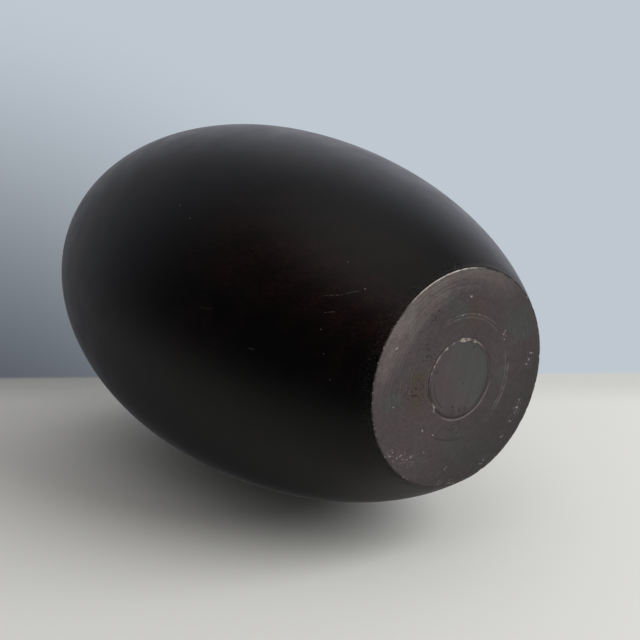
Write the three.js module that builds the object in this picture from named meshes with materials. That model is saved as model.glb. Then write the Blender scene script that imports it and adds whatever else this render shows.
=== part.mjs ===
// A turned wooden vase: an egg-shaped hollow body, a plug in the bore through its floor, and filler round the plug.
// Millimetres, +Z up. The origin is the centre of the face that the vase stands on.
import * as THREE from "three";

// The body outside: two half ellipses that meet at the belly, cut flat at the foot and at the mouth
const height = 283;
const bellyDiameter = 183;
const bellyHeight = 148;
const footDiameter = 100;
const footChamfer = 0.9;

// The mouth and the hollow
const mouthOpening = 76;
const lipWidth = 12;
const lipOuterRound = 4;
const lipInnerRound = 3;
const wall = 11;
const floorThickness = 20;
const floorDiameter = 60;

// The turned ring on the underside, a shallow groove
const ringDiameter = 57.2;
const ringWidth = 1.6;
const ringDepth = 0.5;

// The plug in the floor and the joint round it
const plugDiameter = 36.4;
const plugRecess = 0.2;
const plugBelowFloor = 0.8;
const plugClearance = 0.3;
const jointBevel = 1.2;
const fillerGap = 0.3;

// How finely the curves are cut
const turnSteps = 64;
const wallSteps = 13;
const roundSteps = 4;

const bellyRadius = bellyDiameter / 2;
const footRadius = footDiameter / 2;
const mouthRadius = mouthOpening / 2;
const floorRadius = floorDiameter / 2;
const plugRadius = plugDiameter / 2;
const boreRadius = plugRadius + plugClearance;
const plugLength = floorThickness - plugRecess - plugBelowFloor;

// A half ellipse of the wall, measured from the belly: its radius at the belly is wide, and it narrows to
// endRadius at the distance reach along the axis. direction is 1 above the belly and -1 below it.
function halfEllipse(wide, endRadius, reach, direction) {
  const long = reach / Math.sqrt(1 - (endRadius / wide) ** 2);
  return {
    point: (t) => new THREE.Vector2(wide * Math.cos(t), bellyHeight + direction * long * Math.sin(t)),
    normal: (t) => new THREE.Vector2(Math.cos(t) / wide, (direction * Math.sin(t)) / long).normalize(),
    angleAtRadius: (radius) => Math.acos(Math.min(1, radius / wide)),
  };
}

const outsideBelow = halfEllipse(bellyRadius, footRadius, bellyHeight, -1);
const outsideAbove = halfEllipse(bellyRadius, mouthRadius + lipWidth, height - bellyHeight, 1);
const insideBelow = halfEllipse(bellyRadius - wall, floorRadius, bellyHeight - floorThickness, -1);
const insideAbove = halfEllipse(bellyRadius - wall, mouthRadius, height - bellyHeight, 1);

function along(curve, from, to, steps) {
  return Array.from({ length: steps + 1 }, (_, i) => curve.point(from + ((to - from) * i) / steps));
}

// An arc from the wall to the flat top of the lip, tangent to both. side is 1 for the outer edge of the lip,
// where the wood lies inside the curve, and -1 for the inner edge, where it lies outside.
function lipEdge(curve, side, radius) {
  const centreAt = (t) => curve.point(t).addScaledVector(curve.normal(t), -side * radius);
  let low = 0;
  let high = Math.PI / 2;
  for (let i = 0; i < 50; i++) {
    const middle = (low + high) / 2;
    if (centreAt(middle).y < height - radius) low = middle;
    else high = middle;
  }
  const centre = centreAt(low);
  const start = curve.normal(low).multiplyScalar(side).angle();
  const turn = Math.PI / 2 - start;
  const sweep = Math.atan2(Math.sin(turn), Math.cos(turn));
  const points = Array.from({ length: roundSteps + 1 }, (_, i) => {
    const angle = start + (sweep * i) / roundSteps;
    return new THREE.Vector2(Math.cos(angle), Math.sin(angle)).multiplyScalar(radius).add(centre);
  });
  return { points, wallAngle: low };
}

function turned(profile) {
  return new THREE.LatheGeometry(profile, turnSteps).rotateX(Math.PI / 2);
}

function bodyProfile() {
  const outerLip = lipEdge(outsideAbove, 1, lipOuterRound);
  const innerLip = lipEdge(insideAbove, -1, lipInnerRound);
  const ringRadius = ringDiameter / 2;
  const chamferRadius = footRadius + footChamfer / 2;
  return [
    new THREE.Vector2(boreRadius, jointBevel),
    new THREE.Vector2(boreRadius + jointBevel, 0),
    new THREE.Vector2(ringRadius - ringWidth / 2, 0),
    new THREE.Vector2(ringRadius, ringDepth),
    new THREE.Vector2(ringRadius + ringWidth / 2, 0),
    new THREE.Vector2(footRadius - footChamfer, 0),
    ...along(outsideBelow, outsideBelow.angleAtRadius(chamferRadius), 0, wallSteps),
    ...along(outsideAbove, 0, outerLip.wallAngle, wallSteps).slice(1, -1),
    ...outerLip.points,
    ...innerLip.points.reverse(),
    ...along(insideAbove, innerLip.wallAngle, 0, wallSteps).slice(1),
    ...along(insideBelow, 0, insideBelow.angleAtRadius(floorRadius), wallSteps).slice(1),
    new THREE.Vector2(boreRadius, floorThickness),
    new THREE.Vector2(boreRadius, jointBevel),
  ];
}

function vaseBody() {
  const ebonisedWood = new THREE.MeshStandardMaterial({ color: 0x1c1715, roughness: 0.38, metalness: 0 });
  return new THREE.Mesh(turned(bodyProfile()), ebonisedWood);
}

function basePlug() {
  const bareWood = new THREE.MeshStandardMaterial({ color: 0x463f3c, roughness: 0.7, metalness: 0 });
  const profile = [
    new THREE.Vector2(0, 0),
    new THREE.Vector2(plugRadius - jointBevel, 0),
    new THREE.Vector2(plugRadius, jointBevel),
    new THREE.Vector2(plugRadius, plugLength),
    new THREE.Vector2(0, plugLength),
  ];
  const plug = new THREE.Mesh(turned(profile), bareWood);
  plug.position.z = plugRecess;
  return plug;
}

// The filler stands in the vee between the plug's bevel and the bore's bevel, point upwards.
function fillerRing() {
  const driedFiller = new THREE.MeshStandardMaterial({ color: 0x9c948c, roughness: 0.9, metalness: 0 });
  const veeCentre = plugRadius + plugClearance / 2;
  const halfVee = jointBevel + plugClearance / 2 - plugRecess;
  const halfWidth = halfVee - fillerGap * Math.SQRT2;
  const profile = [
    new THREE.Vector2(veeCentre - halfWidth, 0),
    new THREE.Vector2(veeCentre + halfWidth, 0),
    new THREE.Vector2(veeCentre, halfWidth),
    new THREE.Vector2(veeCentre - halfWidth, 0),
  ];
  const ring = new THREE.Mesh(turned(profile), driedFiller);
  ring.position.z = plugRecess;
  return ring;
}

const pieces = { vase_body: vaseBody(), base_plug: basePlug(), filler_ring: fillerRing() };
const vase = new THREE.Group();
for (const [name, mesh] of Object.entries(pieces)) {
  mesh.name = name;
  vase.add(mesh);
}

export default vase;
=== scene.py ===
from functools import partial
from math import acos, atan2, cos, degrees, pi, radians, remainder, sin, sqrt

import bpy
from mathutils import Matrix, Vector, noise


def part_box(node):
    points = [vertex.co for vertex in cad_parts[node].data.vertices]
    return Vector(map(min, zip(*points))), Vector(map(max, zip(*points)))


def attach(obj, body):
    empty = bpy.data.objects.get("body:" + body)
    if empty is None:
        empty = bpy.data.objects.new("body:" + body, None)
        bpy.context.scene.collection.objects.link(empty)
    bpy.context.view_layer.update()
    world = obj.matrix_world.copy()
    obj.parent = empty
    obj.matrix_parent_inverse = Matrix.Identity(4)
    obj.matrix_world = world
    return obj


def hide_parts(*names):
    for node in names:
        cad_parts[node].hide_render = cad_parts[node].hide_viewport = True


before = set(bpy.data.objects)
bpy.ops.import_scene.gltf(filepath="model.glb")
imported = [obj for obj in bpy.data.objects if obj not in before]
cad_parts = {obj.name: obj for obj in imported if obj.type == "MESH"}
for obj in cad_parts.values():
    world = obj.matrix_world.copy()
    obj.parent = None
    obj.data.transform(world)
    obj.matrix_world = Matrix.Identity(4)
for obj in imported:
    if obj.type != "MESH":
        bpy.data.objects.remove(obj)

scene = bpy.context.scene
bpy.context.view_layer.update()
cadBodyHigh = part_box("vase_body")[1]
cadPlugLow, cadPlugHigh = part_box("base_plug")
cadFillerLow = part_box("filler_ring")[0]
print("frame loaded:", sorted(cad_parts))


# How the photograph was taken, in metres, with the camera's own axes: x right, y up, z back towards the viewer
photo = {
    "lensMm": 67.5,
    "sensorMm": 36,
    "pixels": 640,                               # its width and height
    "footInView": (0.0614, -0.02575, -0.5253),   # the centre of the foot
    "axisInView": (-0.600, 0.243, -0.762),       # from the foot towards the mouth
    "pitch": 15,                                 # degrees that the camera looks down
    "tableEdge": ((0, 378.3), (640, 372.6)),     # two points of the table's far edge, in pixels
    "upInRow": (-1, 1, 0),                       # the vase lies on the side away from this
}

pitch = radians(photo["pitch"])
upInView = Vector((0, cos(pitch), sin(pitch)))
axisInView = Vector(photo["axisInView"]).normalized()
sideInView = (upInView - upInView.dot(axisInView) * axisInView).normalized()
acrossInView = axisInView.cross(sideInView)
axisInRow = Vector((0, 0, 1))
sideInRow = Vector(photo["upInRow"]).normalized()
acrossInRow = axisInRow.cross(sideInRow)
metre = 1000                                     # in millimetres


# A direction seen from the camera, turned to the frame's axes
def fromView(direction):
    direction = Vector(direction)
    return (axisInRow * direction.dot(axisInView) + sideInRow * direction.dot(sideInView)
            + acrossInRow * direction.dot(acrossInView))


roomUp = fromView(upInView)
roomRight = fromView((1, 0, 0))
roomAhead = roomUp.cross(roomRight)


# A direction in the photograph's room: azimuth 0 is straight ahead and 90 to the right, in degrees
def inRoom(azimuth, elevation):
    azimuth, elevation = radians(azimuth), radians(elevation)
    level = roomAhead * cos(azimuth) + roomRight * sin(azimuth)
    return level * cos(elevation) + roomUp * sin(elevation)


# The underside as the photograph shows it: which way up and right lie in the frame
upOnFoot = fromView((0, 1, 0))
upOnFoot = Vector((upOnFoot.x, upOnFoot.y, 0)).normalized()
rightOnFoot = axisInRow.cross(upOnFoot)


# A direction from the vase's axis, in degrees clockwise from up as the photograph shows the underside
def sideways(turn):
    return upOnFoot * cos(radians(turn)) + rightOnFoot * sin(radians(turn))


def linear(hexColour):
    parts = [int(hexColour[i:i + 2], 16) / 255 for i in (1, 3, 5)]
    return [p / 12.92 if p <= 0.04045 else ((p + 0.055) / 1.055) ** 2.4 for p in parts] + [1]


# Adds a node and gives its first output in use, or the one picked. Its inputs are a dictionary by name, or a list
# that fills those in use from the first on: what is left over goes to another such node, after this one's output.
# An input is another node's output, a hex colour or a plain value.
def addNode(tree, kind, inputs, pick=None, **settings):
    made = tree.nodes.new("ShaderNode" + kind)
    for name, value in settings.items():
        setattr(made, name, value)
    sockets = [socket for socket in made.inputs if socket.enabled]
    leftOver = []
    if isinstance(inputs, dict):
        sockets = [next(socket for socket in sockets if socket.name == name) for name in inputs]
        inputs = list(inputs.values())
    else:
        leftOver = inputs[len(sockets):]
    for socket, value in zip(sockets, inputs):
        if isinstance(value, bpy.types.NodeSocket):
            tree.links.new(value, socket)
        else:
            socket.default_value = linear(value) if isinstance(value, str) else value
    output = made.outputs[pick] if pick else next((o for o in made.outputs if o.enabled), None)
    return addNode(tree, kind, [output] + leftOver, pick, **settings) if leftOver else output


# Settings that many nodes share
product = {"operation": "MULTIPLY"}
largest = {"operation": "MAXIMUM"}
smoothly = {"interpolation_type": "SMOOTHSTEP"}


# The largest of several products
def largestProduct(add, *products):
    return add("Math", [add("Math", factors, **product) for factors in products], **largest)


# Lays colours over a first one. A layer is where and how much it shows, and its colour.
def layered(add, colour, *layers):
    for amount, over in layers:
        colour = add("Mix", [amount, colour, over], data_type="RGBA")
    return colour


# A new material, and addNode for its tree
def newMaterial(name):
    material = bpy.data.materials.new(name)
    material.use_nodes = True
    material.node_tree.nodes.clear()
    return material, partial(addNode, material.node_tree)


def finishMaterial(material, add, shader):
    add("OutputMaterial", {"Surface": add("BsdfPrincipled", shader)})
    return material


# The camera

def addCamera():
    data = bpy.data.cameras.new("photoCamera")
    data.lens = photo["lensMm"]
    data.sensor_width = photo["sensorMm"]
    camera = bpy.data.objects.new("photoCamera", data)
    columns = [fromView((1, 0, 0)), fromView((0, 1, 0)), fromView((0, 0, 1))]
    turned = Matrix(columns).transposed().to_4x4()
    camera.matrix_world = Matrix.Translation(-fromView(photo["footInView"])) @ turned
    scene.collection.objects.link(camera)
    scene.camera = camera
    return camera


camera = addCamera()
print("camera placed")


# Parts of patterns that several woods share. Places and distances in them are in millimetres, and add is addNode
# for the material's tree.

def placeOnObject(add):
    return add("VectorMath", [add("TexCoord", [], "Object"), metre], operation="SCALE")


# A place on the underside, x to the right and y up as the photograph shows it
def placeOnUnderside(add):
    place = add("TexCoord", [], "Object")
    right, up = [add("VectorMath", [place, way * metre], operation="DOT_PRODUCT")
                 for way in (rightOnFoot, upOnFoot)]
    return add("CombineXYZ", {"X": right, "Y": up})


# 1 on spots of the underside and 0 off them. A spot is (right, up, radius) in foot radii.
def onSpots(add, place, spots, hardness=0.4):
    footMm = bodyShape["footRadius"] * metre
    shown = [0.0]
    for right, up, size in spots:
        away = add("VectorMath", [place, (right * footMm, up * footMm, 0)], operation="DISTANCE")
        shown.append(add("MapRange", [away, size * footMm, size * footMm * hardness], **smoothly))
    return add("Math", shown, **largest)


# 1 within some degrees of a direction and 0 beyond some more
def inCone(add, direction, middle, within, beyond):
    facing = add("VectorMath", [direction, middle], operation="DOT_PRODUCT")
    return add("MapRange", [facing, cos(radians(beyond)), cos(radians(within))], **smoothly)


# A direction on the underside, in degrees clockwise from up
def towards(turn):
    return sin(radians(turn)), cos(radians(turn)), 0


# 1 on a sector of the underside, about a direction from the axis, and 0 beyond it
def inSector(add, place, turn, within, beyond):
    direction = add("VectorMath", [place], operation="NORMALIZE")
    return inCone(add, direction, towards(turn), within, beyond)


# How far a place on the underside lies towards a direction, from 0 at one distance to 1 at another
def acrossDisc(add, place, turn, start, end):
    facing = add("VectorMath", [place, towards(turn)], operation="DOT_PRODUCT")
    return add("MapRange", [facing, start, end], **smoothly)


# 1 on a circle about the axis and 0 half a width away from it
def onCircle(add, fromAxis, radius, width):
    off = add("Math", [fromAxis, radius], operation="SUBTRACT")
    off = add("Math", [off], operation="ABSOLUTE")
    return add("MapRange", [off, width / 2, 0], **smoothly)


def waves(add, value, pitchMm):
    turns = add("Math", [value, 2 * pi / pitchMm], **product)
    return add("Math", [turns], operation="SINE")


# The scale of a pattern that is drawn out along the log
def drawnOut(widthMm, lengthMm):
    return 1 / widthMm, 1 / widthMm, 1 / lengthMm


# The body: one log section, turned outside and hollowed through the mouth

bodyShape = {
    "bellyHeight": 0.148,
    "footRadius": 0.050,
    "footRound": 0.0009,
    "mouthRadius": 0.038,
    "lipWidth": 0.012,
    "lipOuterRound": 0.004,
    "lipInnerRound": 0.003,
    "wall": 0.011,
    "floorThickness": 0.020,
    "floorRadius": 0.030,
    "floorRound": 0.006,           # how far in from the hollow's wall its floor turns level
    "boreRadius": 0.0185,
    "boreBevel": 0.00015,
    "sandedDip": 0.00015,          # how far the wood is sanded down beside the bore, and how wide
    "sandedWidth": 0.0028,
    "grooveRadius": 0.0286,        # the ring that the chuck's jaws left
    "grooveWidth": 0.0016,
    "grooveDepth": 0.00016,
    "grooveArcs": [(4, 34), (100, 34), (184, 18)],   # where it is deep: turn and half width in degrees
    "grooveElsewhere": 0.10,       # its depth elsewhere, as a share
    "toolMarkPitch": 0.0013,       # from one turning mark to the next
    "toolMarkDepth": 0.00002,
    "toolMarksFrom": 0.0345,
    "toolMarksTo": 0.0485,
    "toolMarksFade": (0.003, 0.001),   # how far they take to begin and to end
    "chipDepth": 0.0002,           # of the chips in the foot's edge
    "chipLength": 0.0022,
    "chipSlope": 0.6,              # how far a chip goes up for how far it goes in
    "turnSteps": 256,
    "undersideStep": 0.0006,
    "grooveStep": 0.0002,
    "toolMarkSteps": 6,
    "footEdgeSteps": 5,
    "belowBellySteps": 60,
    "aboveBellySteps": 56,
    "hollowSteps": 30,             # from the belly up, and as many down
    "lipSteps": 8,
    "smoothAngle": 35,             # degrees, up to which an edge between faces looks smooth
}


# A half ellipse of the wall from the belly, as wide as the belly there and endRadius wide at its far end
def halfEllipse(wide, endRadius, reach, upwards):
    long = reach / sqrt(1 - (endRadius / wide) ** 2)
    side = 1 if upwards else -1
    bellyHeight = bodyShape["bellyHeight"]
    return {
        "pointAt": lambda angle: (wide * cos(angle), bellyHeight + side * long * sin(angle)),
        "normalAt": lambda angle: Vector((cos(angle) / wide, side * sin(angle) / long)).normalized(),
        "angleAt": lambda radius: acos(min(1, radius / wide)),
        "radiusAt": lambda height: wide * sqrt(1 - ((height - bellyHeight) / long) ** 2),
    }


def outsideCurve(upwards):
    s = bodyShape
    endRadius = s["mouthRadius"] + s["lipWidth"] if upwards else s["footRadius"]
    reach = cadBodyHigh.z - s["bellyHeight"] if upwards else s["bellyHeight"]
    return halfEllipse(cadBodyHigh.x, endRadius, reach, upwards)


def along(curve, start, end, steps):
    return [curve["pointAt"](start + (end - start) * i / steps) for i in range(steps + 1)]


# The rounded edge between a wall and the flat top of the lip. side is 1 outside and -1 inside.
def lipEdge(curve, side, radius, top, steps):
    pointAt, normalAt = curve["pointAt"], curve["normalAt"]
    low, high = 0, pi / 2
    for _ in range(50):
        middle = (low + high) / 2
        if pointAt(middle)[1] - side * radius * normalAt(middle).y < top - radius:
            low = middle
        else:
            high = middle
    centre = Vector(pointAt(low)) - normalAt(low) * side * radius
    first = normalAt(low) * side
    start = atan2(first.y, first.x)
    sweep = remainder(pi / 2 - start, 2 * pi)
    arc = [start + sweep * i / steps for i in range(steps + 1)]
    return [(centre.x + radius * cos(a), centre.y + radius * sin(a)) for a in arc], low


def grooveProfile(radius):
    s = bodyShape
    return s["grooveDepth"] * max(0, 1 - abs(radius - s["grooveRadius"]) / (s["grooveWidth"] / 2)) ** 0.7


# How far the turned underside lies above the flat of the foot, at a distance from the axis
def undersideRise(radius):
    s = bodyShape
    rise = grooveProfile(radius)
    rise += s["sandedDip"] * max(0, 1 - (radius - s["boreRadius"]) / s["sandedWidth"])
    if s["toolMarksFrom"] < radius < s["toolMarksTo"]:
        begin, end = s["toolMarksFade"]
        fade = min(1, (radius - s["toolMarksFrom"]) / begin, (s["toolMarksTo"] - radius) / end)
        turns = radius / s["toolMarkPitch"]
        mark = 0.5 - 0.5 * cos(2 * pi * turns)
        rise += s["toolMarkDepth"] * fade * mark * (0.7 + 0.3 * sin(turns * 1.37))
    return rise


def bodyOutline():
    s = bodyShape
    top = cadBodyHigh.z
    outsideBelow, outsideAbove = outsideCurve(False), outsideCurve(True)
    innerWidth = cadBodyHigh.x - s["wall"]
    insideBelow = halfEllipse(innerWidth, s["floorRadius"], s["bellyHeight"] - s["floorThickness"], False)
    insideAbove = halfEllipse(innerWidth, s["mouthRadius"], top - s["bellyHeight"], True)

    # The underside, in steps that are finer where it is marked
    points = [(s["boreRadius"], s["boreBevel"] + s["sandedDip"])]
    radius = s["boreRadius"] + s["boreBevel"]
    flatEnd = s["footRadius"] - s["footRound"]
    while radius < flatEnd:
        points.append((radius, undersideRise(radius)))
        fine = s["toolMarksFrom"] < radius < s["toolMarksTo"]
        nearGroove = abs(radius - s["grooveRadius"]) < s["grooveWidth"]
        radius += (s["toolMarkPitch"] / s["toolMarkSteps"] if fine
                   else s["grooveStep"] if nearGroove else s["undersideStep"])
    points.append((flatEnd, 0))

    # The foot's edge is rounded from the flat into the wall.
    wallStart = outsideBelow["angleAt"](s["footRadius"] + s["footRound"] / 2)
    wallRadius, wallHeight = outsideBelow["pointAt"](wallStart)
    for i in range(1, s["footEdgeSteps"]):
        t = i / s["footEdgeSteps"]
        points.append((flatEnd + (wallRadius - flatEnd) * (1 - (1 - t) ** 2), wallHeight * t * t))
    points += along(outsideBelow, wallStart, 0, s["belowBellySteps"])

    outerLip, outerEnd = lipEdge(outsideAbove, 1, s["lipOuterRound"], top, s["lipSteps"])
    innerLip, innerEnd = lipEdge(insideAbove, -1, s["lipInnerRound"], top, s["lipSteps"])
    points += along(outsideAbove, 0, outerEnd, s["aboveBellySteps"])[1:-1]
    points += outerLip
    points += innerLip[::-1]
    points += along(insideAbove, innerEnd, 0, s["hollowSteps"])[1:]
    points += along(insideBelow, 0, insideBelow["angleAt"](s["floorRadius"]), s["hollowSteps"])[1:]
    points += [(radius, s["floorThickness"]) for radius in (s["floorRadius"] - s["floorRound"], s["boreRadius"])]
    points.append(points[0])
    return points


# Turns an outline of (radius, height) points about the axis, as on a lathe
def turnPiece(name, outline, turnSteps):
    bpy.ops.object.select_all(action="DESELECT")
    bpy.ops.mesh.primitive_plane_add(size=0.001, location=(outline[0][0], 0, outline[0][1]))
    piece = bpy.context.object
    piece.name = piece.data.name = name
    bpy.ops.object.transform_apply(location=True, rotation=True, scale=True)
    bpy.ops.object.mode_set(mode="EDIT")
    bpy.ops.mesh.select_mode(type="VERT")
    bpy.ops.mesh.select_all(action="SELECT")
    bpy.ops.mesh.merge(type="CENTER")
    for (radius, height), (nextRadius, nextHeight) in zip(outline, outline[1:]):
        step = (nextRadius - radius, 0, nextHeight - height)
        bpy.ops.mesh.extrude_region_move(TRANSFORM_OT_translate={"value": step})
    bpy.ops.mesh.select_all(action="SELECT")
    bpy.ops.mesh.spin(steps=turnSteps, angle=2 * pi, center=(0, 0, 0), axis=(0, 0, 1))
    bpy.ops.mesh.select_all(action="SELECT")
    bpy.ops.mesh.remove_doubles(threshold=0.000005)
    bpy.ops.mesh.normals_make_consistent(inside=False)
    bpy.ops.object.mode_set(mode="OBJECT")
    return piece


# Gives the faces that the test picks the material
def paintFaces(piece, material, belongs):
    piece.data.materials.append(material)
    number = len(piece.data.materials) - 1
    for face in piece.data.polygons:
        if belongs(face):
            face.material_index = number


def smooth(piece, angle):
    bpy.ops.object.select_all(action="DESELECT")
    piece.select_set(True)
    bpy.context.view_layer.objects.active = piece
    bpy.ops.object.shade_smooth_by_angle(angle=radians(angle))


# Where a point lies round the axis, in degrees clockwise as the photograph shows the underside
def turnOf(point):
    return degrees(atan2(point.dot(rightOnFoot), point.dot(upOnFoot)))


# 1 within the half width of an arc and softly down to 0 outside it, in degrees
def onArc(turn, middle, halfWidth, softness=10):
    off = abs(remainder(turn - middle, 360))
    return min(1, max(0, (halfWidth + softness / 2 - off) / softness))


# Makes the groove shallow where the photograph hardly shows it, and chips the foot's edge
def wearUnderside(body):
    s = bodyShape
    flatEnd = s["footRadius"] - s["footRound"]
    for vertex in body.data.vertices:
        place = vertex.co
        radius = place.xy.length
        if place.z > 0.0015 or radius < s["boreRadius"] + 0.0001:
            continue
        deep = max(onArc(turnOf(place), middle, halfWidth) for middle, halfWidth in s["grooveArcs"])
        place.z -= grooveProfile(radius) * (1 - s["grooveElsewhere"]) * (1 - deep)
        if radius >= flatEnd - 0.00001:
            chips = noise.fractal(place / s["chipLength"], 1.0, 2.0, 3)
            bite = s["chipDepth"] * min(1, max(0, chips - 0.15) * 2.2)
            place.xy *= 1 - bite / radius
            place.z += bite * s["chipSlope"]


# Ebonised wood: a turned hardwood stained black through and waxed. The eye gets a deep black with a soft,
# slightly broken shine, and a trace of red brown grain where the stain is thin.

ebonisedWood = {
    "black": "#020202",
    "redBrown": "#1b0d0b",
    "thinAt": (-60, 6, 20),        # where the stain is thinnest: turn, full within, gone beyond (degrees)
    "thinHeights": (125, 85),      # and from gone to full, in mm above the foot
    "dulled": "#2b2523",           # at the foot's outermost edge
    "scratch": "#8a827c",
    "pit": "#010101",
    "roughness": 0.31,
    "grainMm": 1.3,                # the width of one streak of the grain
    "grainLengthMm": 60,
    "growthRingMm": 6.5,
    "ringBendMm": 30,              # how far apart the growth rings bend, and how much
    "ringBend": 9.0,
    "patchMm": 55,
    "rubbedMm": 14,
    "waveMm": 35,                  # the slow waves left in the turned surface
    "speckleMm": 0.6,
    "poreMm": 0.45,                # finer in the real wood, drawn as coarse as it needs to show
    "poreLengthMm": 4,
    "pithAt": (-0.516, -0.096),    # on the underside, in foot radii
    "dulledTo": 8,                 # mm above the foot where handling has dulled the shine
    "scratchWidthMm": 0.30,
    "scratchBreakMm": 1.1,
    "scratchMm": [                 # each from one (height, turn) to another, in mm and degrees, and how strong
        ((28.7, -63.8), (22.8, -60.7), 0.55),
        ((23.0, -60.9), (17.0, -55.3), 0.4),
        ((25.2, -69.2), (20.9, -66.9), 0.35),
        ((84.0, -82.4), (75.5, -81.3), 0.2),
        ((53.5, -89.4), (49.0, -89.2), 0.3),
    ],
    "speckMm": [(15.9, -53.7, 0.45), (28.1, -48.3, 0.3), (126.3, -56.0, 0.45), (114.0, -58.7, 0.4),
                (23.7, -75.2, 0.35), (19.7, -83.6, 0.3), (15.5, -92.8, 0.3)],
    "pitMm": [(140.0, -143.8, 1.3), (119.8, -141.8, 0.8), (109.2, -139.3, 0.9), (106.0, -138.0, 0.6)],
}


# A point on the outside of the body in metres, from its height in millimetres and its turn in degrees
def onBody(height, turn):
    height = height / metre
    radius = outsideCurve(height > bodyShape["bellyHeight"])["radiusAt"](height)
    return sideways(turn) * radius + axisInRow * height


# 1 on spots of the body's outside and 0 off them. A spot is (height, turn, radius) in mm and degrees.
def onSurfaceSpots(add, place, spots):
    shown = [0.0]
    for height, turn, size in spots:
        away = add("VectorMath", [place, onBody(height, turn) * metre], operation="DISTANCE")
        shown.append(add("MapRange", [away, size, size * 0.5]))
    return add("Math", shown, **largest)


# 1 on thin straight scratches: near a plane through both ends, and inside a ball between them
def onScratches(add, place, scratches, width):
    shown = [0.0]
    for start, end, strength in scratches:
        start, end = onBody(*start) * metre, onBody(*end) * metre
        middle, length = (start + end) / 2, (end - start).length
        across = (end - start).cross(Vector((middle.x, middle.y, 0))).normalized()
        away = add("VectorMath", [place, middle], operation="DISTANCE")
        between = add("MapRange", [away, length / 2, length * 0.35])
        side = add("VectorMath", [place, across], operation="DOT_PRODUCT")
        side = add("Math", [side, across.dot(middle)], operation="SUBTRACT")
        side = add("Math", [side], operation="ABSOLUTE")
        shown.append(add("Math", [add("MapRange", [side, width / 2, width / 5]), between, strength], **product))
    return add("Math", shown, **largest)


def ebonisedWoodMaterial():
    v = ebonisedWood
    material, add = newMaterial("ebonisedWoodWaxed")
    place = placeOnObject(add)
    height = add("SeparateXYZ", [place], "Z")
    bend, patches, speckle, breaks, rubbing, wave = [
        add("TexNoise", {"Vector": place, "Scale": 1 / v[size], "Detail": detail}) for size, detail in (
            ("ringBendMm", 2), ("patchMm", 2), ("speckleMm", 2), ("scratchBreakMm", 1), ("rubbedMm", 3),
            ("waveMm", 1))]

    # The grain runs along the log, so its figure is what the turned curve cuts out of the growth rings.
    alongLog = add("Mapping", {"Vector": place, "Scale": drawnOut(v["grainMm"], v["grainLengthMm"])})
    streaks = add("TexNoise", {"Vector": alongLog, "Scale": 1, "Detail": 4, "Roughness": 0.6})
    pith = (rightOnFoot * v["pithAt"][0] + upOnFoot * v["pithAt"][1]) * bodyShape["footRadius"] * metre
    level = add("VectorMath", [place, (1, 1, 0)], **product)
    fromPith = add("VectorMath", [level, pith], operation="DISTANCE")
    ringPlace = add("Math", [bend, v["ringBend"], fromPith], operation="MULTIPLY_ADD")
    rings = add("MapRange", [waves(add, ringPlace, v["growthRingMm"]), -1, 1, 0.35, 1])
    figure = add("Math", [add("MapRange", [streaks, 0.35, 0.75, 0.2]), rings,
                          add("MapRange", [streaks, 0.3, 0.7, 0.1, 0.5])], operation="MULTIPLY_ADD")

    # The red brown shows in patches, and most along one side.
    thinSide = add("Math", [
        inSector(add, placeOnUnderside(add), *v["thinAt"]), add("MapRange", [height, *v["thinHeights"]]),
        add("MapRange", [patches, 0.30, 0.5])], **product)
    thinStain = add("Math", [add("MapRange", [patches, 0.52, 0.72, 0, 0.6]), thinSide], **largest)
    redBrown = add("Math", [thinStain, figure], **product)

    alongPores = add("Mapping", {"Vector": place, "Scale": drawnOut(v["poreMm"], v["poreLengthMm"])})
    pores = add("MapRange", [add("TexNoise", {"Vector": alongPores, "Scale": 1, "Detail": 1}), 0.66, 0.74])

    # Near the foot the shine is dulled and finely speckled.
    dulled = add("MapRange", [height, v["dulledTo"], 0], **smoothly)
    scratches = onScratches(add, place, v["scratchMm"], v["scratchWidthMm"])
    marks = largestProduct(
        add, [onSurfaceSpots(add, place, v["speckMm"]), 0.5],
        [scratches, add("MapRange", [breaks, 0.40, 0.56, 0.15, 0.9])],
        [dulled, add("MapRange", [speckle, 0.55, 0.70]), 0.13])
    pits = onSurfaceSpots(add, place, v["pitMm"])
    colour = layered(add, v["black"], (redBrown, v["redBrown"]), (marks, v["scratch"]), (pits, v["pit"]))

    roughness = add("MapRange", [rubbing, 0.3, 0.7, v["roughness"] - 0.035, v["roughness"] + 0.035])
    for where, rougher in (dulled, 0.10), (marks, 0.35):
        roughness = add("Math", [where, rougher, roughness], operation="MULTIPLY_ADD")

    normal = add("Bump", {"Height": wave, "Strength": 0.25, "Distance": 0.0006})
    for relief, strength, depth, sunk in (
            (streaks, 0.14, 0.0001, False), (pores, 0.25, 0.00008, True), (pits, 0.8, 0.0003, True)):
        normal = add("Bump", {
            "Height": relief, "Strength": strength, "Distance": depth, "Normal": normal}, invert=sunk)
    return finishMaterial(material, add, {
        "Base Color": colour, "Roughness": roughness, "IOR": 1.42, "Normal": normal})


# Stained end grain: the foot, cut across the log, where the stain has dried dull and worn grey. The eye gets a
# matt mauve and green grey disc, the pith to the left as a brown stain, fine turning marks, pores and pale chips.

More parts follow.
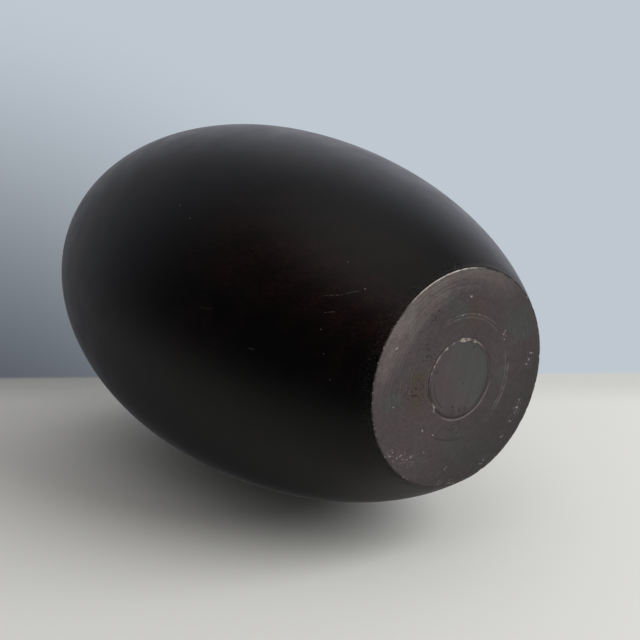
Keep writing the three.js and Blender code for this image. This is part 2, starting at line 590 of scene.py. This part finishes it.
endGrain = {
    "mauve": "#443c3d",
    "greyGreen": "#404240",
    # pale dust, and a painted sheen where it lies to the upper left
    "dustAndSheen": "#635d5b",
    "shaded": "#312e2e",
    "pith": "#403a2c",
    # pores, and also the painted shadow along the groove's lower arc
    "poreAndShadow": "#1b1716",
    "chip": "#bdb8b0",
    # bare wood where the edge is worn, with a painted highlight on it at the upper left
    "wearAndHighlight": "#c2bab2",
    "pale": "#8b8380",
    "roughness": 0.62,
    "patchMm": 15,
    "fibreMm": 0.9,
    "mottleMm": 3,
    "raggedMm": 1.2,
    "ragged": 1.8,                 # mm that a ragged edge wanders from side to side
    "growthRingMm": 2.6,
    "ringBendMm": 12,
    "turningMm": 0.75,
    "poreMm": 1.25,
    "finePoreMm": 0.7,
    "chipMm": 1.3,
    "dustAndSheenAcross": (-52, 29, 48),  # towards a turn in degrees, from not at all to fully in mm
    "shadedAcross": (135, 2, 46),
    "darkerAcross": (12, 2, 26),
    "rimDustAndSheenIn": (-6, 14, 46),     # turn, full within and gone beyond, in degrees
    "turningAndSheenIn": (-48, 36, 74),
    "boreEdgeIn": (150, 35, 62),
    "wearAndHighlightIn": (-24, 2, 30),
    "edgeMm": (49.25, 49.6),       # where the outermost edge begins
    "grooveLines": [(0.7, 1.3), (-0.8, 1.1)],   # beside the groove: mm outwards, and width
    "green": [(0.62, 0.50, 0.34), (-0.18, 0.60, 0.24), (0.10, -0.60, 0.34), (0.42, -0.72, 0.34),
              (0.52, 0.02, 0.12), (-0.80, -0.20, 0.16)],
    "pithStain": [(-0.50, 0.00, 0.17), (-0.46, -0.18, 0.19), (-0.34, -0.10, 0.10), (0.02, 0.60, 0.16)],
    "pores": [(-0.50, -0.08, 0.20), (-0.33, -0.18, 0.12), (-0.43, 0.57, 0.10), (-0.59, 0.44, 0.07),
              (0.04, -0.46, 0.13), (-0.45, 0.22, 0.16), (0.06, -0.33, 0.07)],
    "chips": [(0.85, 0.21, 0.055), (0.835, 0.12, 0.04), (0.82, -0.24, 0.05), (0.80, -0.32, 0.06),
              (0.74, -0.41, 0.05), (0.67, -0.55, 0.045), (-0.56, -0.70, 0.10), (-0.45, -0.72, 0.08),
              (-0.68, -0.65, 0.06), (-0.05, -0.97, 0.05), (0.11, -0.96, 0.05), (0.01, -0.83, 0.03),
              (0.47, -0.80, 0.05), (0.46, 0.40, 0.05), (-0.93, 0.34, 0.04)],
    "specks": [(-0.043, 0.739, 0.018), (-0.804, 0.283, 0.016), (-0.216, -0.504, 0.012), (0.665, -0.575, 0.014),
               (-0.35, -0.456, 0.011), (-0.732, -0.228, 0.009), (0.46, 0.43, 0.010), (0.47, 0.35, 0.009),
               (-0.10, 0.57, 0.007), (0.10, 0.58, 0.008), (-0.29, -0.66, 0.009), (0.80, -0.30, 0.018),
               (0.845, 0.16, 0.015), (-0.25, -0.285, 0.013)],
}


def endGrainMaterial():
    v = endGrain
    material, add = newMaterial("ebonisedEndGrain")
    place = placeOnUnderside(add)
    fromAxis = add("VectorMath", [place], operation="LENGTH")
    footMm = bodyShape["footRadius"] * metre
    pithMm = (ebonisedWood["pithAt"][0] * footMm, ebonisedWood["pithAt"][1] * footMm, 0)
    outOfPith = add("VectorMath", [place, pithMm], operation="SUBTRACT")
    fromPith = add("VectorMath", [outOfPith], operation="LENGTH")

    most, half = v["ragged"], v["ragged"] / 2
    wander = add("TexNoise", {"Vector": place, "Scale": 1 / v["raggedMm"], "Detail": 2}, "Color")
    ragged = add("VectorMath", [wander, (most, most, 0), place], operation="MULTIPLY_ADD")
    ragged = add("VectorMath", [ragged, (half, half, 0)], operation="SUBTRACT")

    mottle, bend, finePores, fibres, broken = [
        add("TexNoise", {"Vector": place, "Scale": 1 / v[size], "Detail": detail, "Roughness": rough})
        for size, detail, rough in (("mottleMm", 3, 0.5), ("ringBendMm", 2, 0.5), ("finePoreMm", 1, 0.5),
                                    ("fibreMm", 4, 0.7), ("chipMm", 3, 0.65))]

    # Broad patches of mauve and green grey; dust and painted sheen to the upper left, painted shade to the lower
    # right
    patches = add("TexNoise", {"Vector": place, "Scale": 1 / v["patchMm"], "Detail": 3, "Distortion": 0.4})
    patchy = add("MapRange", [patches, 0.45, 0.62, -0.45, 0.45])
    green = add("Math", [onSpots(add, place, v["green"], 0.2), patchy], operation="ADD", use_clamp=True)
    # Dust and a painted sheen towards the upper left and along the upper rim
    dustAndSheen = largestProduct(
        add, [acrossDisc(add, place, *v["dustAndSheenAcross"]), add("MapRange", [patches, 0.3, 0.6, 0.6, 1.0])],
        [add("MapRange", [fromAxis, 38, 47]), inSector(add, place, *v["rimDustAndSheenIn"]), 0.55])
    shaded = add("Math", [acrossDisc(add, place, *v["shadedAcross"]), 0.9], **product)

    # The pith's stain, with pores and short cracks about it
    mottled = add("MapRange", [mottle, 0.38, 0.62, 0.1, 0.95])
    stain = add("Math", [onSpots(add, ragged, v["pithStain"], 0.2), mottled], **product)
    rayWay = add("VectorMath", [outOfPith], operation="NORMALIZE")
    rays = add("TexNoise", {"Vector": rayWay, "Scale": 9, "Detail": 3, "Roughness": 0.7})
    cracks = [add("MapRange", limits) for limits in (
        [rays, 0.60, 0.66], [fromPith, 7.5, 4.0], [fromPith, 0.4, 1.2])]

    # Fibres, growth rings, rays and turning marks change the tone a little.
    ringPlace = add("Math", [bend, 4.0, fromPith], operation="MULTIPLY_ADD")
    growth = waves(add, ringPlace, v["growthRingMm"])
    tone = [add("MapRange", limits) for limits in (
        [fibres, 0.3, 0.7, 0.71, 1.29], [growth, -1, 1, 0.965, 1.035], [rays, 0.3, 0.7, 0.93, 1.07],
        [mottle, 0.3, 0.7, 0.88, 1.10], [acrossDisc(add, place, *v["darkerAcross"]), 0, 1, 1, 0.88])]
    # Turning marks as pale and dark rings, shown mostly on the upper left, where they are partly a painted sheen
    slowly = add("VectorMath", [place, 0.03], operation="SCALE")
    ringAt = add("CombineXYZ", {"Z": add("Math", [fromAxis, v["turningMm"]], operation="DIVIDE")})
    ringAt = add("VectorMath", [slowly, ringAt], operation="ADD")
    turning = add("TexNoise", {"Vector": ringAt, "Scale": 1, "Detail": 2, "Roughness": 0.6})
    turningShown = add("Math", [inSector(add, place, *v["turningAndSheenIn"]), 0.14], **largest)
    turningShown = add("Math", [add("MapRange", [fromAxis, 27, 36]), turningShown], **product)
    turning = add("Math", [add("MapRange", [turning, 0.38, 0.66, -0.5, 1.0]), turningShown], **product)
    turning = add("Math", [turning, 0.27, 1.0], operation="MULTIPLY_ADD")
    colour = layered(add, v["mauve"], (green, v["greyGreen"]), (dustAndSheen, v["dustAndSheen"]), (shaded, v["shaded"]),
                     (stain, v["pith"]))
    colour = add("HueSaturation", {"Color": colour, "Value": add("Math", [*tone, turning], **product)})

    # The chuck's groove and the sanded edge of the bore catch the light along parts of their length: painted
    # highlights.
    top, right, bottom = [inSector(add, place, middle, halfWidth - 22, halfWidth + 8)
                          for middle, halfWidth in bodyShape["grooveArcs"]]
    grooveMm = bodyShape["grooveRadius"] * metre
    outer, inner = [onCircle(add, fromAxis, grooveMm + outwards, width) for outwards, width in v["grooveLines"]]
    doubled = add("Math", [outer, add("Math", [inner, 0.7], **product)], **largest)
    # A painted shadow along the groove's lower arc
    shadow = add("Math", [bottom, onCircle(add, fromAxis, grooveMm - 0.3, 1.6), 0.4], **product)
    lit = largestProduct(add, [top, 0.45], [right, 0.7])
    pale = largestProduct(
        add, [lit, doubled, add("MapRange", [mottle, 0.35, 0.6, 0.1, 0.55])],
        [onCircle(add, fromAxis, 19.0, 0.9), inSector(add, place, *v["boreEdgeIn"]),
         add("MapRange", [fibres, 0.35, 0.6, 0.3, 0.8])])

    cells = {"Vector": place, "Scale": 1 / v["poreMm"]}
    dots = add("TexVoronoi", cells, voronoi_dimensions="2D")
    dotSize = add("SeparateColor", {"Color": add("TexVoronoi", cells, "Color", voronoi_dimensions="2D")})
    inPore = add("Math", [add("MapRange", [dotSize, 0.1, 1.0, 0.0, 0.46]), dots], operation="SUBTRACT")
    pores = largestProduct(add, [add("MapRange", [inPore, 0, 0.10]), onSpots(add, place, v["pores"], 0.3)],
                           [add("MapRange", [finePores, 0.62, 0.73]), 0.5], cracks)

    broken = add("MapRange", [broken, 0.55, 0.65])
    chips = add("Math", [broken, onSpots(add, place, v["chips"], 0.3)], **product)
    chips = add("Math", [chips, onSpots(add, ragged, v["specks"], 0.2)], **largest)

    # The outermost edge is worn to bare wood at the upper left, with a painted highlight there, and stained dark
    # opposite.
    edge = add("MapRange", [fromAxis, *v["edgeMm"]])
    wearAndHighlight = largestProduct(
        add, [inSector(add, place, *v["wearAndHighlightIn"]), add("MapRange", [mottle, 0.35, 0.55, 0.4, 0.9])],
        [broken, 0.45])
    colour = layered(
        add, colour, (shadow, v["poreAndShadow"]), (pale, v["pale"]), (add("Math", [pores, 0.85], **product), v["poreAndShadow"]),
        (add("Math", [chips, 0.48], **product), v["chip"]), (edge, ebonisedWood["dulled"]),
        (add("Math", [edge, wearAndHighlight], **product), v["wearAndHighlight"]))

    roughness = add("MapRange", [fibres, 0.3, 0.7, v["roughness"] - 0.06, v["roughness"] + 0.10])
    height = add("Math", [pores, -2.0, fibres], operation="MULTIPLY_ADD")
    height = add("Math", [chips, -1.0, height], operation="MULTIPLY_ADD")
    normal = add("Bump", {"Height": height, "Strength": 0.5, "Distance": 0.00012})
    return finishMaterial(material, add, {
        "Base Color": colour, "Roughness": roughness, "IOR": 1.45, "Normal": normal})


# The hollow: scraped with a hooked tool and left dry. The eye gets a dull brown black, black stain near the
# mouth that fades out inside, and coarse tool rings.

hollowWood = {
    "stained": "#211b18",
    "bare": "#7a5f48",
    "stainEnds": (254, 292),       # mm above the foot, before the runs of stain are added
    "runMm": 18,                   # how far apart the runs are
    "runLengthMm": 45,
    "toolMarkMm": 3.2,
    "grainMm": 1.6,
    "grainLengthMm": 30,
    "roughness": 0.7,
}


def hollowWoodMaterial():
    v = hollowWood
    material, add = newMaterial("hollowedWood")
    place = placeOnObject(add)
    height = add("SeparateXYZ", [place], "Z")
    alongLog = add("Mapping", {"Vector": place, "Scale": drawnOut(v["grainMm"], v["grainLengthMm"])})
    grain = add("TexNoise", {"Vector": alongLog, "Scale": 1, "Detail": 4, "Roughness": 0.65})
    runs = add("TexNoise", {"Vector": place, "Scale": 1 / v["runMm"], "Detail": 3})
    edge = add("Math", [runs, v["runLengthMm"], height], operation="MULTIPLY_ADD")
    stained = add("MapRange", [edge, *v["stainEnds"]], **smoothly)
    colour = layered(add, v["bare"], (stained, v["stained"]))
    colour = add("HueSaturation", {"Color": colour, "Value": add("MapRange", [grain, 0.3, 0.7, 0.7, 1.3])})
    wander = add("Math", [runs, 2.0, height], operation="MULTIPLY_ADD")
    toolRings = waves(add, wander, v["toolMarkMm"])
    normal = add("Bump", {"Height": toolRings, "Strength": 0.5, "Distance": 0.0002})
    normal = add("Bump", {"Height": grain, "Strength": 0.4, "Distance": 0.0002, "Normal": normal})
    return finishMaterial(material, add, {
        "Base Color": colour, "Roughness": v["roughness"], "IOR": 1.45, "Normal": normal})


def makeBody():
    s = bodyShape
    body = turnPiece("vase_shell", bodyOutline(), s["turnSteps"])
    wearUnderside(body)
    paintFaces(body, ebonisedWoodMaterial(), lambda face: True)
    paintFaces(body, endGrainMaterial(), lambda face: face.center.z < 0.0004
               and face.center.xy.length < s["footRadius"])
    lipStart = cadBodyHigh.z - s["lipInnerRound"]
    paintFaces(body, hollowWoodMaterial(), lambda face: s["boreBevel"] * 2 < face.center.z < lipStart
               and (face.normal.xy.dot(face.center.xy) < 0 or face.normal.z > 0.7))
    smooth(body, s["smoothAngle"])
    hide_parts("vase_body")
    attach(body, "root")
    return body


body = makeBody()
print("body turned:", len(body.data.polygons), "faces")


# The plug in the floor

plugShape = {"edgeRound": 0.0012, "faceSteps": 12, "turnSteps": 192, "smoothAngle": 35}

# Stained long grain: the plug was cut along its wood, so straight grain lines cross its face. The eye gets a
# matt disc like the foot's, streaked one way, green grey to the upper right and mauve to the lower left.

plugWood = {
    "mauve": "#484041",
    "greyGreen": "#424442",
    "dark": "#211c1b",
    "roughness": 0.62,
    "grainMm": 0.55,
    "grainLengthMm": 26,
    "grainTurn": 6,                # degrees off the photograph's upright
    "bandMm": 3.3,
    "crumbMm": 0.7,
    "patchMm": 7,
    "greenAcross": (58, -9, 7),    # towards a turn in degrees, from mauve to green grey in mm
    "runMm": (15.2, 1.3),          # a line of stain inside the edge: its radius and width
    "runIn": (236, 16, 34),        # turn, full within and gone beyond, in degrees
    "darkSpots": [(-0.02, -0.31, 0.045), (0.065, -0.29, 0.045), (0.125, -0.28, 0.035), (0.048, -0.041, 0.02),
                  (-0.03, -0.26, 0.03), (-0.30, 0.06, 0.03), (0.10, 0.28, 0.03)],
}


def plugWoodMaterial():
    v = plugWood
    material, add = newMaterial("plugLongGrain")
    place = placeOnUnderside(add)
    fromAxis = add("VectorMath", [place], operation="LENGTH")
    crumbs = add("TexNoise", {"Vector": place, "Scale": 1 / v["crumbMm"], "Detail": 2})
    alongGrain = add("Mapping", {
        "Vector": place, "Rotation": (0, 0, radians(v["grainTurn"])),
        "Scale": (1 / v["grainMm"], 1 / v["grainLengthMm"], 1)})
    streaks = add("TexNoise", {"Vector": alongGrain, "Scale": 1, "Detail": 4, "Roughness": 0.65})
    broad = add("Mapping", {"Vector": place, "Scale": (1 / v["bandMm"], 1 / v["grainLengthMm"], 1)})
    bands = add("TexNoise", {"Vector": broad, "Scale": 1, "Detail": 2})
    patches = add("TexNoise", {"Vector": place, "Scale": 1 / v["patchMm"], "Detail": 3})
    green = add("Math", [acrossDisc(add, place, *v["greenAcross"]), add("MapRange", [
        patches, 0.35, 0.65, -0.35, 0.35])], operation="ADD", use_clamp=True)
    colour = layered(add, v["mauve"], (green, v["greyGreen"]))
    tone = add("Math", [add("MapRange", [pattern, 0.3, 0.7, low, high]) for pattern, low, high in (
        (streaks, 0.87, 1.13), (bands, 0.92, 1.09), (patches, 0.95, 1.05))], **product)
    colour = add("HueSaturation", {"Color": colour, "Value": tone})

    # Dark spots, a line of stain where it ran along the edge, and small pits
    dark = largestProduct(
        add, [onSpots(add, place, v["darkSpots"], 0.3), add("MapRange", [crumbs, 0.46, 0.56])],
        [onCircle(add, fromAxis, *v["runMm"]), inSector(add, place, *v["runIn"]), 0.55],
        [add("MapRange", [crumbs, 0.55, 0.68]), add("MapRange", [fromAxis, 6, 16, 0.38, 0.62])])
    colour = layered(add, colour, (dark, v["dark"]))
    height = add("Math", [dark, -1.5, streaks], operation="MULTIPLY_ADD")
    normal = add("Bump", {"Height": height, "Strength": 0.5, "Distance": 0.00012})
    roughness = add("MapRange", [streaks, 0.3, 0.7, v["roughness"] - 0.05, v["roughness"] + 0.08])
    return finishMaterial(material, add, {
        "Base Color": colour, "Roughness": roughness, "IOR": 1.45, "Normal": normal})


def makePlug():
    radius, low, high = cadPlugHigh.x, cadPlugLow.z, cadPlugHigh.z
    edge, faceSteps = plugShape["edgeRound"], plugShape["faceSteps"]
    centre = 0.00002                       # all but on the axis, where the turned ends are then merged
    rounded = [(radius - edge + edge * sin(a), low + edge - edge * cos(a))
               for a in (radians(d) for d in range(0, 91, 15))]
    face = [((radius - edge) * i / faceSteps, low) for i in range(1, faceSteps)]
    outline = [(centre, low)] + face + rounded + [(radius, high), (centre, high)]
    plug = turnPiece("plug", outline, plugShape["turnSteps"])
    paintFaces(plug, plugWoodMaterial(), lambda face: True)
    smooth(plug, plugShape["smoothAngle"])
    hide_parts("base_plug")
    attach(plug, "root")
    return plug


plug = makePlug()


# The filler in the joint round the plug: pressed in by hand, proud and ragged on one side and sunk on the other

fillerShape = {
    "innerRadius": 0.0170,
    "outerRadius": 0.0185,
    "depth": 0.0006,
    "acrossSteps": 8,
    "turnSteps": 360,
    "proud": 0.00015,              # how far it stands off the plug
    "crown": 0.00010,              # and more in its middle
    "proudArc": (-28, 66),         # turn and half width in degrees
    "proudFade": 16,               # degrees over which that arc ends
    "sunkArcs": [(205, 58, 0.00020), (95, 52, 0.00010)],   # where it lies back, and how far
    "sunkFade": 20,
    "ragged": 0.00030,             # how far its edges wander, and over what length
    "raggedLength": 0.0022,
    "rough": 0.00005,              # the same of its face
    "roughLength": 0.0013,
    "blobs": [(-6, 5, 0.0007), (-34, 3, 0.0003), (-62, 4, 0.0003), (12, 3, 0.0003), (40, 4, 0.0004),
              (228, 3, 0.0002)],   # where it was smeared wider, and how far
    "blobFade": 5,
    "furthestIn": 0.0006,          # past its inner radius
    "smoothAngle": 50,
}

# Dried filler: a chalky paste of glue and dust that shrank as it dried. The eye gets a dry, dirty white crust
# where it stands proud, and a dark stained line where it has sunk.

driedFiller = {
    "chalk": "#a49d94",
    "stained": "#26211f",
    "wood": "#484142",
    "crumbMm": 0.7,
    "lumpMm": 1.8,
    "roughness": 0.9,
    "jointMm": 17.9,               # the radius of the joint's dark line
    "darkIn": (205, 38, 72),       # turn, full within and gone beyond, in degrees
    "cornerIn": (228, 3, 7),
    "crustMm": (17.85, 1.5),       # the crust's radius and width
    "blobs": [(-0.043, 0.355, 0.050), (0.02, 0.352, 0.03), (0.10, 0.34, 0.022), (-0.22, 0.275, 0.016),
              (-0.335, 0.12, 0.015), (-0.25, -0.26, 0.022)],
}


def driedFillerMaterial():
    v = driedFiller
    material, add = newMaterial("driedFillerChalky")
    place = placeOnUnderside(add)
    fromAxis = add("VectorMath", [place], operation="LENGTH")
    crumbs = add("TexNoise", {"Vector": place, "Scale": 1 / v["crumbMm"], "Detail": 3, "Roughness": 0.7})
    lumps = add("TexNoise", {"Vector": place, "Scale": 1 / v["lumpMm"], "Detail": 2})
    dark = largestProduct(
        add, [inSector(add, place, *v["darkIn"]), onCircle(add, fromAxis, v["jointMm"], 0.9)],
        [onCircle(add, fromAxis, v["jointMm"], 1.0), add("MapRange", [lumps, 0.35, 0.6, 0.1, 0.6])])
    turn, halfWidth = fillerShape["proudArc"]
    proud = [inSector(add, place, turn, halfWidth - 12, halfWidth + 8), inSector(add, place, *v["cornerIn"])]
    crust = [onCircle(add, fromAxis, *v["crustMm"]), add("MapRange", [lumps, 0.42, 0.56, 0.15, 0.65])]
    crust = add("Math", [onSpots(add, place, v["blobs"], 0.4), add("Math", crust, **product)], **largest)
    chalky = add("Math", [
        add("Math", proud, **largest), crust, add("MapRange", [lumps, 0.38, 0.58, 0.3, 1.0]),
        add("MapRange", [crumbs, 0.38, 0.56, 0.35, 1.0])], **product)
    colour = layered(add, v["wood"], (dark, v["stained"]), (chalky, v["chalk"]))
    colour = add("HueSaturation", {"Color": colour, "Value": add("MapRange", [crumbs, 0.3, 0.7, 0.8, 1.15])})
    normal = add("Bump", {"Height": crumbs, "Strength": 0.8, "Distance": 0.00015})
    return finishMaterial(material, add, {
        "Base Color": colour, "Roughness": v["roughness"], "Normal": normal})


def makeFiller():
    s = fillerShape
    low = cadFillerLow.z
    inner, outer, steps = s["innerRadius"], s["outerRadius"], s["acrossSteps"]
    middle = (inner + outer) / 2
    face = [(inner + (outer - inner) * i / steps, low) for i in range(steps + 1)]
    outline = face + [(outer, low + s["depth"]), face[0]]
    filler = turnPiece("filler", outline, s["turnSteps"])
    proudTurn, proudHalf = s["proudArc"]
    for vertex in filler.data.vertices:
        place = vertex.co
        if place.z > low + 0.00001:
            continue
        turn = turnOf(place)
        radius = place.xy.length
        side = (radius - middle) / (outer - middle)
        proud = onArc(turn, proudTurn, proudHalf, s["proudFade"])
        rough = noise.fractal(place / s["roughLength"], 1.0, 2.0, 3)
        wander = noise.fractal(Vector((place.x, place.y, side * 0.01)) / s["raggedLength"], 1.0, 2.0, 3)
        blob = sum(size * onArc(turn, at, halfWidth, s["blobFade"]) for at, halfWidth, size in s["blobs"])
        shift = side * (wander * s["ragged"] * (0.4 + 0.6 * proud) + blob * 0.6)
        radius = max(inner - s["furthestIn"], min(outer, radius + shift))
        crown = s["crown"] * (1 - side * side)
        sunk = sum(depth * onArc(turn, at, halfWidth, s["sunkFade"]) for at, halfWidth, depth in s["sunkArcs"])
        height = low - s["proud"] - crown * proud + sunk * (1 - side * side) + rough * s["rough"]
        place.xy = place.xy.normalized() * radius
        place.z = max(0.00001, height)
    paintFaces(filler, driedFillerMaterial(), lambda face: True)
    smooth(filler, s["smoothAngle"])
    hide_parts("filler_ring")
    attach(filler, "root")
    return filler


filler = makeFiller()
print("plug and filler made")


# The stage: a sheet of the table that the vase lies on in the photograph, and a floor under the foot for other
# views. Only the camera sees them, and they fade out before their edges. Beyond the sheet the world shows the
# rest of the table and the plain backdrop.

table = {
    "nearEdge": 0.390,             # ahead of the camera
    "farEdge": 0.780,
    "halfWidth": 0.62,
    "colour": "#d9d9d5",
    "sideFade": (0.45, 0.23),      # from gone to whole, to each side of the middle
    "nearFade": (0.395, 0.430),    # and ahead of the camera
    "farFade": (0.772, 0.71),
    "glow": 0,
}

standFloor = {
    "size": 4.0,
    "below": 0.0002,
    "colour": "#d9d9d5",
    "fade": (1.1, 0.25),           # from gone to whole, about the vase's axis
    "glow": 0.34,                  # a little light of its own, to look as pale as the table does
}


# A diffuse surface that only the camera sees, from its front, as much of it as the amount says. Its reflection
# in the vase is part of the surroundings.
def stageMaterial(name, values, amountFor):
    material, add = newMaterial(name)
    place = add("TexCoord", [], "Object")
    front = add("Math", [1.0, add("NewGeometry", [], "Backfacing")], operation="SUBTRACT")
    shown = add("Math", [front, add("LightPath", [], "Is Camera Ray"), amountFor(add, place)], **product)
    surface = add("BsdfDiffuse", {"Color": values["colour"]})
    if values["glow"]:
        surface = add("AddShader", [surface, add("Emission", [values["colour"], values["glow"]])])
    add("OutputMaterial", {"Surface": add("MixShader", [shown, add("BsdfTransparent", []), surface])})
    return material


def tableShown(add, place):
    across = add("Math", [add("SeparateXYZ", [place], "X")], operation="ABSOLUTE")
    middle = (table["nearEdge"] + table["farEdge"]) / 2
    ahead = add("Math", [add("SeparateXYZ", [place], "Y"), middle], operation="ADD")
    fades = (across, table["sideFade"]), (ahead, table["nearFade"]), (ahead, table["farFade"])
    return add("Math", [add("MapRange", [value, *fade], **smoothly) for value, fade in fades], **product)


def standFloorShown(add, place):
    away = add("VectorMath", [place], operation="LENGTH")
    return add("MapRange", [away, *standFloor["fade"]], **smoothly)


def addSheet(name, centre, right, ahead, width, depth, material):
    bpy.ops.object.select_all(action="DESELECT")
    bpy.ops.mesh.primitive_plane_add(size=1)
    sheet = bpy.context.object
    sheet.name = name
    sheet.scale = (width, depth, 1)
    bpy.ops.object.transform_apply(location=False, rotation=False, scale=True)
    turned = Matrix([right, ahead, right.cross(ahead)]).transposed().to_4x4()
    sheet.matrix_world = Matrix.Translation(centre) @ turned
    sheet.data.materials.append(material)


def addStage():
    contact = min(roomUp.dot(v.co) for v in body.data.vertices)
    viewpoint = camera.matrix_world.translation
    onTable = viewpoint + roomAhead * (table["nearEdge"] + table["farEdge"]) / 2
    centre = onTable + roomUp * (contact - roomUp.dot(onTable))
    addSheet("table", centre, roomRight, roomAhead, 2 * table["halfWidth"], table["farEdge"] - table["nearEdge"],
             stageMaterial("table", table, tableShown))
    addSheet("standFloor", Vector((0, 0, -standFloor["below"])), Vector((1, 0, 0)), Vector((0, 1, 0)),
             standFloor["size"], standFloor["size"], stageMaterial("standFloor", standFloor, standFloorShown))
    print("table lies", round((viewpoint.dot(roomUp) - contact) * metre, 1), "mm below the camera")


# Light: soft surroundings, as the vase's own reflections show them, and one large lamp to the right. A lobe is
# azimuth, elevation, full within and gone beyond, in degrees of the photograph's room.

surroundings = {
    "backdrop": "#bfc8d1",
    "backdropShade": "#30353f",
    "shadeLobe": (-24, -32, 0, 34),
    "farTable": "#cbccc8",             # the table beyond the sheet, for the camera
    "farTableShade": "#848482",
    "farTableLobe": (0, -50, 38, 62),
    "farTableShadeLobe": (-20, -20, 6, 30),
    "edgeSoftness": 0.0012,            # of the table's far edge
    "coolGlow": (0.94, 0.96, 1.07),
    "warmGlow": (1.03, 0.98, 0.94),
    "glows": [                         # a lobe, then strength and tint
        (34, 8, 0, 70, 0.44, "coolGlow"),
        (-15, 13, 27, 74, 0.23, "coolGlow"),
        (172, 81, 0, 44, 0.52, "warmGlow"),
    ],
    "glowRise": (-0.75, 0.05),         # how steeply up, as a sine: below this the table hides the glows
    "tableGlow": (0, -65, 60, 95, 0.23, "warmGlow"),   # what the table sends back up
    "tableRise": (0.05, -0.32),
    "tableShade": (-13, -20, 0, 71),                   # where the vase shades it
    "tableBright": (88, -34, 10, 74, 0.41, "warmGlow"),
    "fillOnMatt": 0.26,                # even light from all round
    "fillInShine": 0.02,               # and what little of it a shiny surface mirrors
}

keyLamp = {"azimuth": 110, "elevation": 33, "distance": 1.8, "size": 1.5, "power": 30}


# The plane through the camera and the table's far edge, by its upward normal
def edgeNormal():
    half, perPixel = photo["pixels"] / 2, photo["sensorMm"] / photo["lensMm"] / photo["pixels"]
    left, right = [fromView(((x - half) * perPixel, (half - y) * perPixel, -1)) for x, y in photo["tableEdge"]]
    return right.cross(left).normalized()


def addSurroundings():
    s = surroundings
    scene.world = bpy.data.worlds.new("surroundings")
    scene.world.use_nodes = True
    scene.world.node_tree.nodes.clear()
    add = partial(addNode, scene.world.node_tree)
    direction = add("TexCoord", [], "Generated")

    def lobe(azimuth, elevation, within, beyond):
        return inCone(add, direction, inRoom(azimuth, elevation), within, beyond)

    # What lights the vase and what it mirrors
    rise = add("VectorMath", [direction, roomUp], operation="DOT_PRODUCT")
    overTable = add("MapRange", [rise, *s["glowRise"]])
    glows = [(add("Math", [lobe(*glow[:4]), overTable], **product), *glow[4:]) for glow in s["glows"]]
    glows.append((lobe(*s["tableBright"][:4]), *s["tableBright"][4:]))
    unshaded = add("Math", [1.0, lobe(*s["tableShade"])], operation="SUBTRACT")
    onTable = [lobe(*s["tableGlow"][:4]), add("MapRange", [rise, *s["tableRise"]]), unshaded]
    glows.append((add("Math", onTable, **product), *s["tableGlow"][4:]))
    inShine = add("LightPath", [], "Is Glossy Ray")
    fill = add("MapRange", [inShine, 0, 1, s["fillOnMatt"], s["fillInShine"]])
    total = add("CombineXYZ", [fill, fill, fill])
    for amount, strength, tint in glows:
        tinted = add("VectorMath", [s[tint], add("Math", [amount, strength], **product)], operation="SCALE")
        total = add("VectorMath", [total, tinted], operation="ADD")

    # What the camera sees: the wall, and the far table under its edge
    wall = layered(add, s["backdrop"], (lobe(*s["shadeLobe"]), s["backdropShade"]))
    farTable = layered(add, s["farTable"], (lobe(*s["farTableShadeLobe"]), s["farTableShade"]))
    overEdge = add("VectorMath", [direction, edgeNormal()], operation="DOT_PRODUCT")
    underEdge = add("MapRange", [overEdge, s["edgeSoftness"], -s["edgeSoftness"]])
    beyond = add("Math", [underEdge, lobe(*s["farTableLobe"])], **product)
    seen = add("Background", {"Color": layered(add, wall, (beyond, farTable))})
    byCamera = add("LightPath", [], "Is Camera Ray")
    add("OutputWorld", {"Surface": add("MixShader", [byCamera, add("Background", {"Color": total}), seen])})


def addKeyLamp():
    data = bpy.data.lights.new("keyLamp", "AREA")
    data.shape = "DISK"
    data.size = keyLamp["size"]
    data.energy = keyLamp["power"]
    lamp = bpy.data.objects.new("keyLamp", data)
    lamp.visible_glossy = False
    away = inRoom(keyLamp["azimuth"], keyLamp["elevation"])
    lamp.location = Vector((0, 0, bodyShape["bellyHeight"])) + away * keyLamp["distance"]
    lamp.rotation_euler = away.to_track_quat("Z", "Y").to_euler()
    scene.collection.objects.link(lamp)


addStage()
addSurroundings()
addKeyLamp()
scene.view_settings.view_transform = "Standard"
print("lights set")
